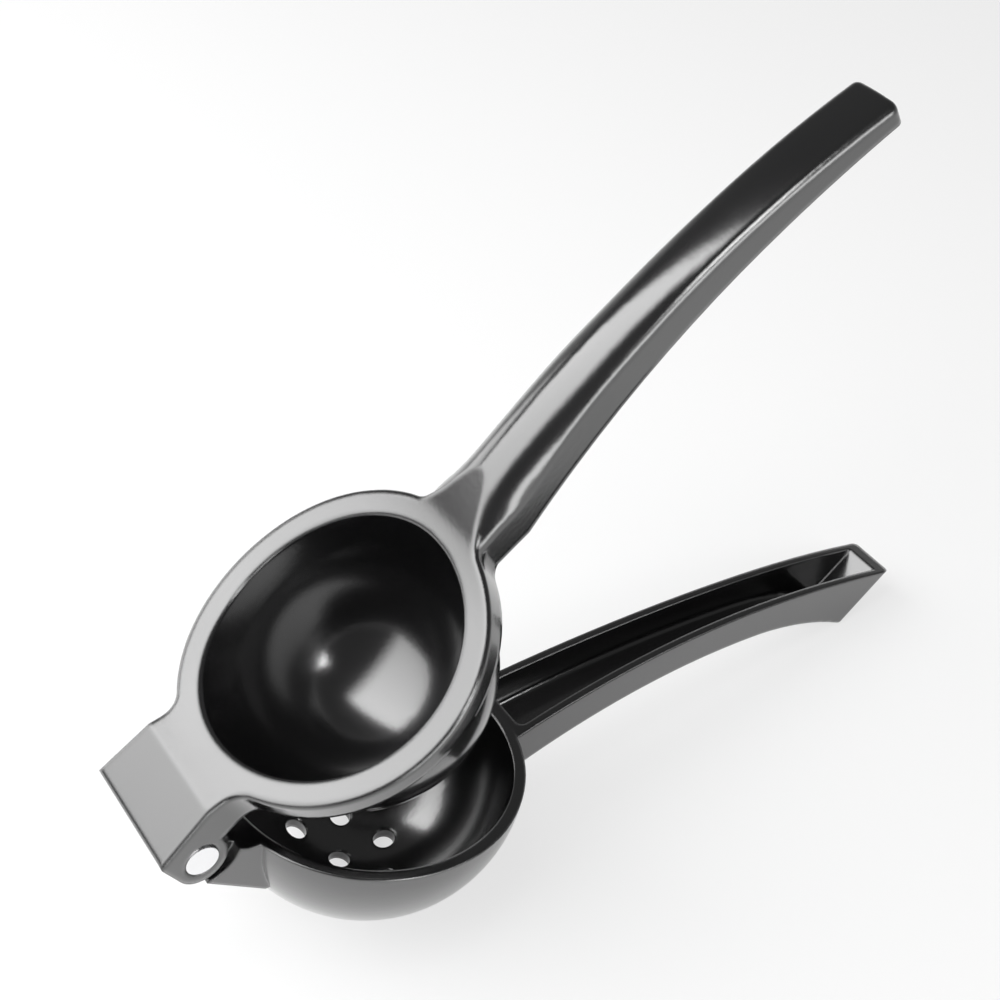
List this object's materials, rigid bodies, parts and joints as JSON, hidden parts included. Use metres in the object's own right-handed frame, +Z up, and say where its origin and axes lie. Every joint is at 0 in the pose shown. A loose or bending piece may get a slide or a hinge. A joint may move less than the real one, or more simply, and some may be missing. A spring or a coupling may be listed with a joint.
{
  "type": "citrus squeezer",
  "caption": "Hinged hand squeezer for lemons: a press cup on the upper arm swings about a pin into a strainer bowl with drain holes, each with a long handle.",
  "frame": {"origin": "middle of the table footprint of the open squeezer, at the table's height", "axes": "+X along the arms to the handle ends, +Y along the hinge pin, +Z up from the table"},
  "size_m": [0.2276, 0.0774, 0.1737],
  "materials": {
    "enamel_upper": "gloss black enamel on cast aluminium",
    "enamel_lower": "gloss black enamel on cast aluminium",
    "pin_steel": "bright polished steel"
  },
  "bodies": {
    "lower": {"lower_arm": "enamel_lower"},
    "upper": {"upper_arm": "enamel_upper", "hinge_pin": "pin_steel"}
  },
  "joints": [
    {"name": "hinge", "type": "hinge", "parent": "lower", "child": "upper", "pos_m": [-0.10451, 0, 0.05317], "axis": [0, -1, 0], "range_deg": [-38, 80]}
  ]
}
